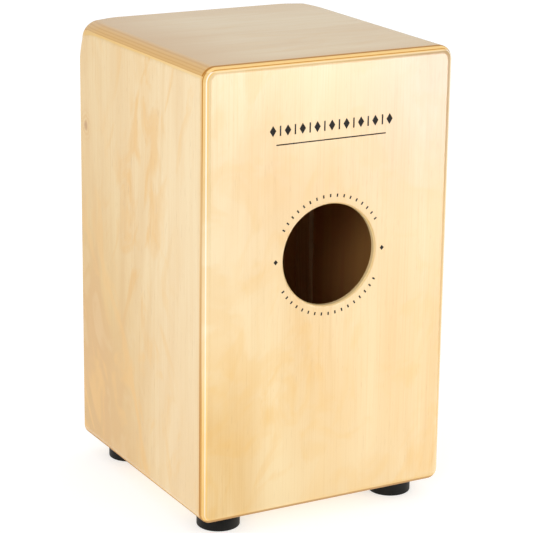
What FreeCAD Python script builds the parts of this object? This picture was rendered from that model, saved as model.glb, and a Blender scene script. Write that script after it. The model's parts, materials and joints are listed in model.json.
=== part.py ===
import FreeCAD, Part
import Sketcher
import math
import os

# A string cajon: a plywood box played sitting on it, with a thin front plate, a sound hole in the
# back, four rubber feet and two tunable V-shaped snare strings behind the front plate.
#
# Frame: millimetres, origin on the floor under the middle of the box, +Z up.
# The front plate (tapa) faces -Y, the sound hole faces +Y.

DIMENSIONS = {
    # the box
    "body_width": 290.0,
    "body_depth": 300.0,
    "body_height": 480.0,
    "panel_thickness": 9.0,
    "rear_thickness": 6.0,
    "tapa_thickness": 3.0,
    # rounding of the box
    "top_edge_radius": 15.0,
    "bottom_edge_radius": 12.0,
    "rear_edge_radius": 8.0,
    "front_top_radius": 6.0,
    "front_side_radius": 4.0,
    "front_corner_radius": 22.0,
    "corner_blend": 45.0,
    # sound hole
    "hole_radius": 54.0,
    "hole_height": 273.5,
    "hole_rim_radius": 2.0,
    # battens behind the front plate
    "batten_thickness": 6.0,
    "batten_depth": 30.0,
    # front plate screws
    "tapa_screw_inset": 12.0,
    "tapa_screw_head_radius": 3.4,
    "tapa_screw_head_height": 2.0,
    "tapa_screw_radius": 1.5,
    "tapa_screw_length": 16.0,
    "side_screw_count": 5.0,
    "side_screw_low": 45.0,
    "side_screw_high": 430.0,
    "cross_screw_count": 4.0,
    "cross_screw_reach": 105.0,
    # feet
    "foot_radius": 23.0,
    "foot_height": 19.0,
    "foot_edge_radius": 1.5,
    "foot_recess_radius": 9.0,
    "foot_recess_depth": 8.0,
    "foot_bore_radius": 2.6,
    "foot_inset_side": 39.0,
    "foot_inset_end": 40.0,
    "washer_radius": 8.0,
    "washer_thickness": 1.2,
    "foot_screw_radius": 2.0,
    "foot_screw_length": 19.0,
    "foot_screw_head_radius": 4.5,
    "foot_screw_head_height": 2.6,
    # string anchor
    "anchor_length": 160.0,
    "anchor_depth": 12.0,
    "anchor_height": 12.0,
    "hitch_pin_radius": 1.25,
    "hitch_pin_setback": 2.9,
    "hitch_pin_seat": 8.0,
    "hitch_pin_reach": 8.0,
    "hitch_head_radius": 1.7,
    "hitch_head_height": 1.0,
    # strings
    "string_radius": 0.45,
    "string_spread": 20.0,
    "string_loop_radius": 2.35,
    "string_loop_drop": 5.0,
    "string_gap": 0.1,
    # tuners
    "tuner_offset": 45.0,
    "tuner_setback": 14.0,
    "bushing_radius": 7.0,
    "bushing_flange_radius": 10.0,
    "bushing_flange_thickness": 1.2,
    "key_recess_radius": 5.0,
    "key_recess_depth": 4.1,
    "head_chamber_radius": 4.6,
    "bushing_floor": 8.0,
    "shaft_radius": 2.5,
    "running_gap": 0.05,
    "screw_head_radius": 4.25,
    "screw_head_height": 4.0,
    "screw_length": 72.0,
    "screw_tip_chamfer": 0.6,
    "key_width": 4.0,
    "key_depth": 2.6,
    "sheet_steel": 1.5,
    "bracket_height": 60.0,
    "bracket_front_gap": 0.5,
    "bracket_inner_width": 14.0,
    "bracket_flange_depth": 15.0,
    "bracket_foot_length": 44.0,
    "bracket_screw_spacing": 32.0,
    "bracket_screw_radius": 1.5,
    "bracket_screw_length": 10.0,
    "bracket_screw_head_radius": 3.0,
    "bracket_screw_head_height": 1.8,
    "carriage_width": 13.4,
    "carriage_depth": 13.0,
    "carriage_height": 12.0,
    "carriage_rest": 18.0,
    "post_radius": 2.5,
    "post_seat": 3.5,
    "post_reach": 4.0,
    "post_flange_radius": 4.0,
    "post_flange_thickness": 1.0,
}

doc = FreeCAD.newDocument("cajon")
sheet = doc.addObject("Spreadsheet::Sheet", "Sizes")
for row, (alias, number) in enumerate(DIMENSIONS.items(), start=1):
    sheet.set(f"A{row}", alias.replace("_", " "))
    sheet.set(f"B{row}", str(number))
    sheet.setAlias(f"B{row}", alias)
doc.recompute()


# ---------------------------------------------------------------- lengths that stay linked to the sheet

class Size:
    """A length that knows its value and the sheet expression that gives it."""

    def __init__(self, value, text):
        self.value = value
        self.text = text

    def __add__(self, other):
        other = as_size(other)
        return Size(self.value + other.value, f"({self.text} + {other.text})")

    def __sub__(self, other):
        other = as_size(other)
        return Size(self.value - other.value, f"({self.text} - {other.text})")

    def __mul__(self, factor):
        return Size(self.value * factor, f"({self.text} * {factor})")

    def __neg__(self):
        return self * -1

    def __float__(self):
        return self.value


def as_size(length):
    """Turn a plain number into a Size."""
    return length if isinstance(length, Size) else Size(float(length), f"({float(length)})")


def size(alias):
    """The Size held in one cell of the sheet."""
    return Size(float(sheet.get(alias)), f"Sizes.{alias}")


def count(alias):
    """A whole number held in the sheet."""
    return int(round(float(size(alias))))


ZERO = as_size(0.0)

# Two places nearer than this are the same place.
NEAR = 1e-4

# How far a cutting tool runs past each face that it goes through.
OVERSHOOT = 1.0

# Proportions of the screw heads.
RECESS_ARM_SHARE = 0.22
PAN_ROUNDING_SHARE = 0.45
FLAT_RECESS_WIDTH_SHARE = 1.1
FLAT_RECESS_DEPTH_SHARE = 0.7
PAN_RECESS_WIDTH_SHARE = 0.9
PAN_RECESS_DEPTH_SHARE = 0.6


# ---------------------------------------------------------------- small builders

def bind(thing, prop, length):
    """Set a property of an object to a Size, as an expression."""
    thing.setExpression(prop, as_size(length).text)


def place(thing, x=ZERO, y=ZERO, z=ZERO, rotation=None):
    """Put an object at three Sizes, turned by an optional rotation."""
    corner = FreeCAD.Vector(float(x), float(y), float(z))
    thing.Placement = FreeCAD.Placement(corner, rotation or FreeCAD.Rotation())
    bind(thing, "Placement.Base.x", x)
    bind(thing, "Placement.Base.y", y)
    bind(thing, "Placement.Base.z", z)
    return thing


def box(name, x, y, z):
    """A box from a (low, high) pair of Sizes along each axis."""
    solid = doc.addObject("Part::Box", name)
    bind(solid, "Length", x[1] - x[0])
    bind(solid, "Width", y[1] - y[0])
    bind(solid, "Height", z[1] - z[0])
    return place(solid, x[0], y[0], z[0])


def cylinder(name, radius, x, y, z, length, rotation=None):
    """A cylinder that starts at (x, y, z) and runs along its own +Z for length."""
    solid = doc.addObject("Part::Cylinder", name)
    bind(solid, "Radius", radius)
    bind(solid, "Height", length)
    return place(solid, x, y, z, rotation)


def cut(name, base, tool):
    """The base with the tool's space taken out."""
    result = doc.addObject("Part::Cut", name)
    result.Base = base
    result.Tool = tool
    return result


def common(name, base, tool):
    """The space that two objects share."""
    result = doc.addObject("Part::Common", name)
    result.Base = base
    result.Tool = tool
    return result


def fuse(name, pieces):
    """Several objects joined, with the seams between them kept."""
    result = doc.addObject("Part::MultiFuse", name)
    result.Shapes = pieces
    result.Refine = False
    return result


def group(name, shapes):
    """Separate solids kept together as one object."""
    result = doc.addObject("Part::Feature", name)
    result.Shape = Part.makeCompound(shapes)
    return result


def origin_plane(body, role):
    """One of a body's own origin planes, by its role."""
    return next(item for item in body.Origin.OriginFeatures if item.Role == role)


def outline(body, name, role, points):
    """A closed straight-sided sketch on one of a body's origin planes."""
    sketch = body.newObject("Sketcher::SketchObject", name)
    sketch.AttachmentSupport = [(origin_plane(body, role), "")]
    sketch.MapMode = "FlatFace"
    add_outline(sketch, points)
    return sketch


def add_outline(sketch, points):
    """Draw a closed straight-sided outline and hold each corner by two dimensions."""
    corners = [FreeCAD.Vector(float(x), float(y), 0) for x, y in points]
    for start, end in zip(corners, corners[1:] + corners[:1]):
        sketch.addGeometry(Part.LineSegment(start, end), False)
    for index in range(len(corners)):
        following = (index + 1) % len(corners)
        sketch.addConstraint(Sketcher.Constraint("Coincident", index, 2, following, 1))
    for index, (x, y) in enumerate(points):
        for axis, length in (("DistanceX", x), ("DistanceY", y)):
            held = sketch.addConstraint(Sketcher.Constraint(axis, -1, 1, index, 1, float(length)))
            sketch.setExpression(f"Constraints[{held}]", as_size(length).text)


def revolved(name, points):
    """A PartDesign body turned about its own Z axis from a (radius, height) outline."""
    body = doc.addObject("PartDesign::Body", name)
    profile = outline(body, f"{name}_profile", "XZ_Plane", points)
    turning = body.newObject("PartDesign::Revolution", f"{name}_turning")
    turning.Profile = profile
    turning.ReferenceAxis = (origin_plane(body, "Z_Axis"), [""])
    turning.Angle = 360
    return body


def ring_edges(shape, radius, height):
    """Names of the circular edges of a given radius whose plane lies at a given height."""
    names = []
    for number, edge in enumerate(shape.Edges, start=1):
        curve = edge.Curve
        if isinstance(curve, Part.Circle):
            if abs(curve.Radius - radius) < NEAR and abs(curve.Center.z - height) < NEAR:
                names.append(f"Edge{number}")
    return names


parts = {}


def keep(node, thing):
    """Label an object with its node name and list it for writing."""
    thing.Label = node
    parts[node] = thing
    return thing


# ---------------------------------------------------------------- levels and faces of the box

half_width = size("body_width") * 0.5
half_depth = size("body_depth") * 0.5
panel = size("panel_thickness")
underside = size("foot_height")
crown = underside + size("body_height")
floor_top = underside + panel
ceiling = crown - panel
inner_side = half_width - panel
tapa_back = size("tapa_thickness") - half_depth
rear_front = half_depth - size("rear_thickness")
batten = size("batten_thickness")
batten_rear = tapa_back + size("batten_depth")
batten_top = floor_top + batten
batten_ceiling = ceiling - batten

FULL_WIDTH = (-half_width, half_width)
SHELL_DEPTH = (tapa_back, rear_front)
BATTEN_DEPTH = (tapa_back, batten_rear)


# ---------------------------------------------------------------- outer form shared by the panels

def outer_block():
    """The plain block, built of five boxes so that its edges are divided where the rounding grows."""
    blend = size("corner_blend")
    front = -half_depth
    blend_rear = front + blend
    blend_low = crown - blend
    blend_side = half_width - blend
    front_depth = (front, blend_rear)
    upper = (blend_low, crown)
    return fuse("outer_block", [
        box("block_rear", FULL_WIDTH, (blend_rear, half_depth), (underside, crown)),
        box("block_front_low", FULL_WIDTH, front_depth, (underside, blend_low)),
        box("block_front_top", (-blend_side, blend_side), front_depth, upper),
        box("block_corner_left", (blend_side, half_width), front_depth, upper),
        box("block_corner_right", (-half_width, -blend_side), front_depth, upper),
    ])


def edge_radii(edge):
    """Rounding radii at the two ends of one edge of the outer block, or None for an inner seam."""
    ends = [vertex.Point for vertex in edge.Vertexes]

    def both(test):
        return all(test(point) for point in ends)

    def near(value, length):
        return abs(value - float(length)) < NEAR

    same_side = near(ends[0].x, ends[-1].x)
    side = same_side and near(abs(ends[0].x), half_width)
    front = both(lambda point: near(point.y, -half_depth))
    rear = both(lambda point: near(point.y, half_depth))
    top = both(lambda point: near(point.z, crown))
    bottom = both(lambda point: near(point.z, underside))
    if [side, front or rear, top or bottom].count(True) < 2:
        return None
    if rear:
        return [float(size("rear_edge_radius"))] * 2
    if side and bottom:
        return [float(size("bottom_edge_radius"))] * 2
    if front and bottom:
        return [float(size("front_side_radius"))] * 2
    corner = float(size("front_corner_radius"))
    if side and top:
        plain, at_corner = size("top_edge_radius"), lambda point: near(point.y, -half_depth)
    elif front and top:
        plain, at_corner = size("front_top_radius"), lambda point: near(abs(point.x), half_width)
    else:
        plain, at_corner = size("front_side_radius"), lambda point: near(point.z, crown)
    return [corner if at_corner(point) else float(plain) for point in ends]


def outer_form():
    """The block with its edges rounded; the two upper front corners swell to a ball-like rounding."""
    block = outer_block()
    doc.recompute()
    rounded = doc.addObject("Part::Fillet", "outer_form")
    rounded.Base = block
    chosen = []
    for number, edge in enumerate(block.Shape.Edges, start=1):
        radii = edge_radii(edge)
        if radii:
            chosen.append((number, radii[0], radii[1]))
    rounded.Edges = chosen
    doc.recompute()
    return rounded


form = outer_form()


# ---------------------------------------------------------------- screws, each group a set of solids

UP = FreeCAD.Vector(0, 0, 1)
REARWARD = FreeCAD.Vector(0, 1, 0)


def cross_recess(point, direction, width, depth):
    """A plus-shaped recess that starts at a point and goes along a direction."""
    arm = width * RECESS_ARM_SHARE
    bars = []
    for long_side, short_side in ((width, arm), (arm, width)):
        corner = FreeCAD.Vector(-long_side / 2, -short_side / 2, 0)
        bars.append(Part.makeBox(long_side, short_side, depth, corner))
    recess = bars[0].fuse(bars[1])
    recess.Placement = FreeCAD.Placement(point, FreeCAD.Rotation(UP, direction))
    return recess


def countersunk_screw(point, direction, prefix):
    """The full envelope of a flat-head screw whose head face lies at the point."""
    head_radius = float(size(f"{prefix}_head_radius"))
    head_height = float(size(f"{prefix}_head_height"))
    radius = float(size(f"{prefix}_radius"))
    length = float(size(f"{prefix}_length"))
    head = Part.makeCone(head_radius, radius, head_height, point, direction)
    return head.fuse(Part.makeCylinder(radius, length, point, direction))


def pan_screw(point, direction, prefix):
    """The full envelope of a pan-head screw whose head bears on the point."""
    head_radius = float(size(f"{prefix}_head_radius"))
    head_height = float(size(f"{prefix}_head_height"))
    radius = float(size(f"{prefix}_radius"))
    length = float(size(f"{prefix}_length"))
    head_face = point - direction * head_height
    head = Part.makeCylinder(head_radius, head_height, head_face, direction)
    outer_face = next(face for face in head.Faces if face.CenterOfMass.isEqual(head_face, NEAR))
    head = head.makeFillet(head_height * PAN_ROUNDING_SHARE, outer_face.Edges)
    return head.fuse(Part.makeCylinder(radius, length, point, direction))


def evenly(low, high, number):
    """A number of values spread evenly from low to high."""
    return [low + (high - low) * step / (number - 1) for step in range(number)]


def tapa_screw_points():
    """Head centres of the screws round the front plate, on its outer face."""
    inset = float(size("tapa_screw_inset"))
    side = float(half_width) - inset
    low = float(underside)
    front = -float(half_depth)
    points = []
    side_low = low + float(size("side_screw_low"))
    side_high = low + float(size("side_screw_high"))
    for height in evenly(side_low, side_high, count("side_screw_count")):
        for x in (-side, side):
            points.append(FreeCAD.Vector(x, front, height))
    reach = float(size("cross_screw_reach"))
    for x in evenly(-reach, reach, count("cross_screw_count")):
        for height in (low + inset, float(crown) - inset):
            points.append(FreeCAD.Vector(x, front, height))
    return points


def tapa_screws():
    """The screws that hold the front plate, and their full envelopes as a cutting tool."""
    points = tapa_screw_points()
    envelopes = [countersunk_screw(point, REARWARD, "tapa_screw") for point in points]
    width = float(size("tapa_screw_head_radius")) * FLAT_RECESS_WIDTH_SHARE
    depth = float(size("tapa_screw_head_height")) * FLAT_RECESS_DEPTH_SHARE
    screws = []
    for point, envelope in zip(points, envelopes):
        screws.append(envelope.cut(cross_recess(point, REARWARD, width, depth)))
    keep("tapa_screws", group("tapa_screw_set", screws))
    return group("tapa_screw_holes", envelopes)


tapa_holes = tapa_screws()


# ---------------------------------------------------------------- feet and what holds them

foot_x = half_width - size("foot_inset_side")
foot_y = half_depth - size("foot_inset_end")
FOOT_PLACES = {
    "front_left": (foot_x, -foot_y),
    "front_right": (-foot_x, -foot_y),
    "rear_left": (foot_x, foot_y),
    "rear_right": (-foot_x, foot_y),
}


def foot(name):
    """A round rubber foot with a recess underneath for its screw and washer."""
    outer = size("foot_radius")
    recess = size("foot_recess_radius")
    bore = size("foot_bore_radius")
    depth = size("foot_recess_depth")
    height = size("foot_height")
    body = revolved(name, [
        (bore, depth),
        (recess, depth),
        (recess, ZERO),
        (outer, ZERO),
        (outer, height),
        (bore, height),
    ])
    doc.recompute()
    rounding = body.newObject("PartDesign::Fillet", f"{name}_rounding")
    rounding.Base = (body.Group[1], ring_edges(body.Group[1].Shape, float(outer), 0.0))
    bind(rounding, "Radius", size("foot_edge_radius"))
    body.Tip = rounding
    return body


def feet():
    """The four feet, their washers and screws; returns the screws' envelopes as a cutting tool."""
    washers = []
    screws = []
    envelopes = []
    washer_face = float(size("foot_recess_depth")) - float(size("washer_thickness"))
    cross = float(size("foot_screw_head_radius")) * PAN_RECESS_WIDTH_SHARE
    cross_depth = float(size("foot_screw_head_height")) * PAN_RECESS_DEPTH_SHARE
    for corner, (x, y) in FOOT_PLACES.items():
        keep(f"foot_{corner}", place(foot(f"foot_{corner}"), x, y))
        seat = FreeCAD.Vector(float(x), float(y), washer_face)
        washer = Part.makeCylinder(float(size("washer_radius")), float(size("washer_thickness")), seat)
        envelope = pan_screw(seat, UP, "foot_screw")
        head_face = seat - UP * float(size("foot_screw_head_height"))
        washers.append(washer.cut(envelope))
        screws.append(envelope.cut(cross_recess(head_face, UP, cross, cross_depth)))
        envelopes.append(envelope)
    keep("foot_washers", group("foot_washer_set", washers))
    keep("foot_screws", group("foot_screw_set", screws))
    return group("foot_screw_holes", envelopes)


foot_screw_holes = feet()


# ---------------------------------------------------------------- string tuners

tuner_y = tapa_back + size("tuner_setback")
TUNER_PLACES = {"left": size("tuner_offset"), "right": -size("tuner_offset")}
chamber_top = batten_top - size("bushing_floor")
bracket_base = batten_top + size("sheet_steel")
bracket_crown = batten_top + size("bracket_height")
carriage_low = bracket_base + size("carriage_rest")
post_height = carriage_low + size("carriage_height") * 0.5
carriage_front = tuner_y - size("carriage_depth") * 0.5


def bushing(name):
    """A flanged steel cup let into the bottom, where the screw's head turns above a recess for the key."""
    low = underside - size("bushing_flange_thickness")
    shaft_hole = size("shaft_radius") + size("running_gap")
    recess = size("key_recess_radius")
    recess_top = low + size("key_recess_depth")
    chamber = size("head_chamber_radius")
    flange = size("bushing_flange_radius")
    barrel = size("bushing_radius")
    return revolved(name, [
        (recess, low),
        (flange, low),
        (flange, underside),
        (barrel, underside),
        (barrel, batten_top),
        (shaft_hole, batten_top),
        (shaft_hole, chamber_top),
        (chamber, chamber_top),
        (chamber, recess_top),
        (recess, recess_top),
    ])


def tuning_screw(name):
    """A socket-head screw: head below, shaft running up through the bracket."""
    head_top = chamber_top - size("running_gap")
    head_low = head_top - size("screw_head_height")
    shaft = size("shaft_radius")
    tip = head_top + size("screw_length")
    chamfer = size("screw_tip_chamfer")
    head = size("screw_head_radius")
    body = revolved(name, [
        (ZERO, head_low),
        (head, head_low),
        (head, head_top),
        (shaft, head_top),
        (shaft, tip - chamfer),
        (shaft - chamfer, tip),
        (ZERO, tip),
    ])
    sketch = body.newObject("Sketcher::SketchObject", f"{name}_socket_outline")
    sketch.AttachmentSupport = [(origin_plane(body, "XY_Plane"), "")]
    sketch.MapMode = "FlatFace"
    bind(sketch, "AttachmentOffset.Base.z", head_low)
    corner_radius = size("key_width") * (1 / math.sqrt(3))
    corners = []
    for step in range(6):
        angle = math.radians(60 * step)
        corners.append((corner_radius * math.cos(angle), corner_radius * math.sin(angle)))
    add_outline(sketch, corners)
    socket = body.newObject("PartDesign::Pocket", f"{name}_socket")
    socket.Profile = sketch
    bind(socket, "Length", size("key_depth"))
    socket.Reversed = True
    body.Tip = socket
    return body


def bracket(name, x):
    """A folded steel channel standing on the bottom batten; it guides the carriage."""
    inner = size("bracket_inner_width") * 0.5
    outer = inner + size("sheet_steel")
    front = carriage_front + size("bracket_front_gap")
    web_front = front + size("bracket_flange_depth")
    web_rear = web_front + size("sheet_steel")
    half_foot = size("bracket_foot_length") * 0.5
    wall = (bracket_base, bracket_crown)
    sheets = [
        box(f"{name}_foot", (x - half_foot, x + half_foot), (front, web_rear), (batten_top, bracket_base)),
        box(f"{name}_web", (x - outer, x + outer), (web_front, web_rear), wall),
        box(f"{name}_wall_a", (x - outer, x - inner), (front, web_front), wall),
        box(f"{name}_wall_b", (x + inner, x + outer), (front, web_front), wall),
        box(f"{name}_cap", (x - inner, x + inner), (front, web_front),
            (bracket_crown - size("sheet_steel"), bracket_crown)),
    ]
    folded = fuse(f"{name}_folded", sheets)
    folded.Refine = True
    cap_hole = size("shaft_radius") + size("running_gap")
    hole = cylinder(f"{name}_hole", cap_hole, x, tuner_y, batten_top - OVERSHOOT,
                    size("bracket_height") + 2 * OVERSHOOT)
    return cut(f"{name}_pierced", folded, hole)


def bracket_screws():
    """The screws that hold both brackets; keeps them and returns their envelopes."""
    envelopes = []
    screws = []
    half_spacing = float(size("bracket_screw_spacing")) / 2
    cross = float(size("bracket_screw_head_radius")) * PAN_RECESS_WIDTH_SHARE
    cross_depth = float(size("bracket_screw_head_height")) * PAN_RECESS_DEPTH_SHARE
    down = FreeCAD.Vector(0, 0, -1)
    for x in TUNER_PLACES.values():
        for shift in (-half_spacing, half_spacing):
            seat = FreeCAD.Vector(float(x) + shift, float(tuner_y), float(bracket_base))
            envelope = pan_screw(seat, down, "bracket_screw")
            head_face = seat + UP * float(size("bracket_screw_head_height"))
            envelopes.append(envelope)
            screws.append(envelope.cut(cross_recess(head_face, down, cross, cross_depth)))
    keep("bracket_screws", group("bracket_screw_set", screws))
    return group("bracket_screw_holes", envelopes)


def string_post(name, x):
    """A flanged pin pressed into the carriage's front; the string runs round its underside."""
    seat = size("post_seat")
    reach = size("post_reach")
    body = revolved(name, [
        (ZERO, -seat),
        (size("post_radius"), -seat),
        (size("post_radius"), reach),
        (size("post_flange_radius"), reach),
        (size("post_flange_radius"), reach + size("post_flange_thickness")),
        (ZERO, reach + size("post_flange_thickness")),
    ])
    forward = FreeCAD.Rotation(FreeCAD.Vector(1, 0, 0), 90)
    return place(body, x, carriage_front, post_height, forward)


def carriage(name, x):
    """A threaded block that the screw draws up and down inside the bracket."""
    half = size("carriage_width") * 0.5
    block = box(f"{name}_block", (x - half, x + half),
                (carriage_front, carriage_front + size("carriage_depth")),
                (carriage_low, carriage_low + size("carriage_height")))
    bore = cylinder(f"{name}_bore", size("shaft_radius") + size("running_gap"), x, tuner_y,
                    carriage_low - OVERSHOOT, size("carriage_height") + 2 * OVERSHOOT)
    bored = cut(f"{name}_bored", block, bore)
    back_to_front = FreeCAD.Rotation(FreeCAD.Vector(1, 0, 0), 90)
    seat = cylinder(f"{name}_seat", size("post_radius"), x, carriage_front + size("post_seat"),
                    post_height, size("post_seat") + OVERSHOOT, back_to_front)
    return cut(f"{name}_piece", bored, seat)


def tuners():
    """Both tuners, each with its bushing, screw, bracket, carriage and string post."""
    screw_holes = bracket_screws()
    for side, x in TUNER_PLACES.items():
        keep(f"tuner_bushing_{side}", place(bushing(f"bushing_{side}"), x, tuner_y))
        keep(f"tuning_screw_{side}", place(tuning_screw(f"screw_{side}"), x, tuner_y))
        pierced = bracket(f"bracket_{side}", x)
        keep(f"tuner_bracket_{side}", cut(f"bracket_{side}_piece", pierced, screw_holes))
        keep(f"tuner_carriage_{side}", carriage(f"carriage_{side}", x))
        keep(f"string_post_{side}", string_post(f"post_{side}", x))
    return screw_holes


bracket_screw_holes = tuners()


# ---------------------------------------------------------------- string anchor, hitch pins and strings

anchor_low = batten_ceiling - size("anchor_height")
loop_height = anchor_low - size("string_loop_drop")
pin_y = tapa_back + size("hitch_pin_setback")


def hitch_points():
    """Places of the hitch pins, two over each tuner."""
    spread = float(size("string_spread"))
    places = []
    for x in TUNER_PLACES.values():
        for shift in (-spread, spread):
            places.append(FreeCAD.Vector(float(x) + shift, float(pin_y), float(anchor_low)))
    return places


def hitch_pins():
    """Round-headed pins driven up into the anchor bar."""
    radius = float(size("hitch_pin_radius"))
    seat = float(size("hitch_pin_seat"))
    reach = float(size("hitch_pin_reach"))
    head_radius = float(size("hitch_head_radius"))
    head_height = float(size("hitch_head_height"))
    pins = []
    for point in hitch_points():
        stem = Part.makeCylinder(radius, seat + reach, point - UP * reach)
        head = Part.makeCylinder(head_radius, head_height, point - UP * reach)
        pins.append(stem.fuse(head))
    return keep("hitch_pins", group("hitch_pin_set", pins))


def snare_string(name, x):
    """One steel string: down from a hitch pin, round the post and up to the other pin."""
    radius = float(size("string_radius"))
    wrap = float(size("post_radius")) + radius + float(size("string_gap"))
    spread = float(size("string_spread"))
    loop = float(size("string_loop_radius"))
    post = FreeCAD.Vector(float(x), float(carriage_front) - float(size("post_reach")) / 2, float(post_height))
    upper = FreeCAD.Vector(float(x), float(pin_y) - loop, float(loop_height))
    rise = upper - post
    reach = rise.Length
    along = FreeCAD.Vector(rise).normalize()
    across = FreeCAD.Vector(1, 0, 0)

    def spot(sideways, upward):
        return post + across * sideways + along * upward

    tangent = math.atan2(reach, -spread) + math.acos(wrap / math.hypot(spread, reach))
    touch = (wrap * math.cos(tangent), wrap * math.sin(tangent))
    path = Part.Wire([
        Part.LineSegment(spot(-spread, reach), spot(*touch)).toShape(),
        Part.Arc(spot(*touch), spot(0, -wrap), spot(-touch[0], touch[1])).toShape(),
        Part.LineSegment(spot(-touch[0], touch[1]), spot(spread, reach)).toShape(),
    ])
    start = spot(-spread, reach)
    section = Part.Wire([Part.makeCircle(radius, start, spot(*touch) - start)])
    wire = path.makePipeShell([section], True, False)
    rings = []
    for sideways in (-spread, spread):
        centre = FreeCAD.Vector(float(x) + sideways, float(pin_y), float(loop_height))
        rings.append(Part.makeTorus(loop, radius, centre, UP))
    thing = doc.addObject("Part::Feature", name)
    thing.Shape = wire.multiFuse(rings)
    return thing


def string_anchor():
    """A hardwood bar under the top batten, drilled for the hitch pins."""
    half = size("anchor_length") * 0.5
    bar = box("anchor_block", (-half, half), (tapa_back, tapa_back + size("anchor_depth")),
              (anchor_low, batten_ceiling))
    keep("string_anchor_bar", cut("anchor_bar", bar, hitch_pins()))


string_anchor()
for side, x in TUNER_PLACES.items():
    keep(f"snare_string_{side}", snare_string(f"string_{side}", x))


# ---------------------------------------------------------------- panels and battens

def shaped(name, x, y, z):
    """A slab cut to the outer form of the box."""
    return common(f"{name}_shaped", box(f"{name}_slab", x, y, z), form)


def bushing_openings():
    """Round openings in the bottom for the two bushings."""
    tools = []
    for side, x in TUNER_PLACES.items():
        tools.append(cylinder(f"bushing_opening_{side}", size("bushing_radius"), x, tuner_y,
                              underside - OVERSHOOT, batten_top - underside + 2 * OVERSHOOT))
    return fuse("bushing_openings", tools)


def rear_panel():
    """The back with its round sound hole, the hole's outer rim softened."""
    slab = shaped("rear", FULL_WIDTH, (rear_front, half_depth), (underside, crown))
    back_to_front = FreeCAD.Rotation(FreeCAD.Vector(1, 0, 0), 90)
    hole = cylinder("sound_hole", size("hole_radius"), ZERO, half_depth + OVERSHOOT,
                    underside + size("hole_height"), size("rear_thickness") + 2 * OVERSHOOT,
                    back_to_front)
    pierced = cut("rear_pierced", slab, hole)
    doc.recompute()
    softened = doc.addObject("Part::Fillet", "rear_softened")
    softened.Base = pierced
    rim = []
    for number, edge in enumerate(pierced.Shape.Edges, start=1):
        round_edge = isinstance(edge.Curve, Part.Circle)
        if round_edge and abs(edge.Curve.Radius - float(size("hole_radius"))) < NEAR:
            if abs(edge.Curve.Center.y - float(half_depth)) < NEAR:
                rim.append((number, float(size("hole_rim_radius")), float(size("hole_rim_radius"))))
    softened.Edges = rim
    return keep("rear_panel", softened)


def panels():
    """The six panels of the box."""
    keep("top_panel", shaped("top", FULL_WIDTH, SHELL_DEPTH, (ceiling, crown)))
    wall = (underside, ceiling)
    keep("side_panel_left", shaped("side_left", (inner_side, half_width), SHELL_DEPTH, wall))
    keep("side_panel_right", shaped("side_right", (-half_width, -inner_side), SHELL_DEPTH, wall))
    bottom = shaped("bottom", (-inner_side, inner_side), SHELL_DEPTH, (underside, floor_top))
    bottom = cut("bottom_footed", bottom, foot_screw_holes)
    bottom = cut("bottom_bracketed", bottom, bracket_screw_holes)
    keep("bottom_panel", cut("bottom_bored", bottom, bushing_bores))
    rear_panel()
    plate = shaped("tapa", FULL_WIDTH, (-half_depth, tapa_back), (underside, crown))
    keep("tapa", cut("tapa_drilled", plate, tapa_holes))


def front_battens():
    """Strips glued round the front opening, which the front plate is screwed to."""
    wall = (batten_top, batten_ceiling)
    inner = inner_side - batten
    across = (-inner_side, inner_side)
    left = box("batten_left_strip", (inner, inner_side), BATTEN_DEPTH, wall)
    right = box("batten_right_strip", (-inner_side, -inner), BATTEN_DEPTH, wall)
    top = box("batten_top_strip", across, BATTEN_DEPTH, (batten_ceiling, ceiling))
    bottom = box("batten_bottom_strip", across, BATTEN_DEPTH, (floor_top, batten_top))
    bottom = cut("batten_bottom_bored", bottom, bushing_bores)
    bottom = cut("batten_bottom_bracketed", bottom, bracket_screw_holes)
    strips = {"left": left, "right": right, "top": top, "bottom": bottom}
    for where, strip in strips.items():
        keep(f"front_batten_{where}", cut(f"batten_{where}_drilled", strip, tapa_holes))


bushing_bores = bushing_openings()
panels()
front_battens()


# ---------------------------------------------------------------- check every object, then write

def report_faults():
    """Stop if any object failed or any part's shape is missing or not valid."""
    for thing in doc.Objects:
        if "Invalid" in thing.State or "Error" in thing.State:
            raise RuntimeError(f"{thing.Name} failed: {thing.State}")
    for node, thing in parts.items():
        if thing.Shape.isNull() or not thing.Shape.isValid() or not thing.Shape.Solids:
            raise RuntimeError(f"{node} has no valid solid")


doc.recompute()
report_faults()
os.makedirs("parts", exist_ok=True)
for node, thing in parts.items():
    thing.Shape.exportStep(f"parts/{node}.step")
    bounds = thing.Shape.BoundBox
    print(f"{node:24s} solids {len(thing.Shape.Solids):2d}  volume {thing.Shape.Volume:12.1f}  "
          f"x {bounds.XMin:7.1f} {bounds.XMax:7.1f}  y {bounds.YMin:7.1f} {bounds.YMax:7.1f}  "
          f"z {bounds.ZMin:6.1f} {bounds.ZMax:6.1f}")
print(f"{len(parts)} nodes")
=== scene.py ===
import json
import math
from collections import namedtuple

import bpy
from mathutils import Matrix, Vector


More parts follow.
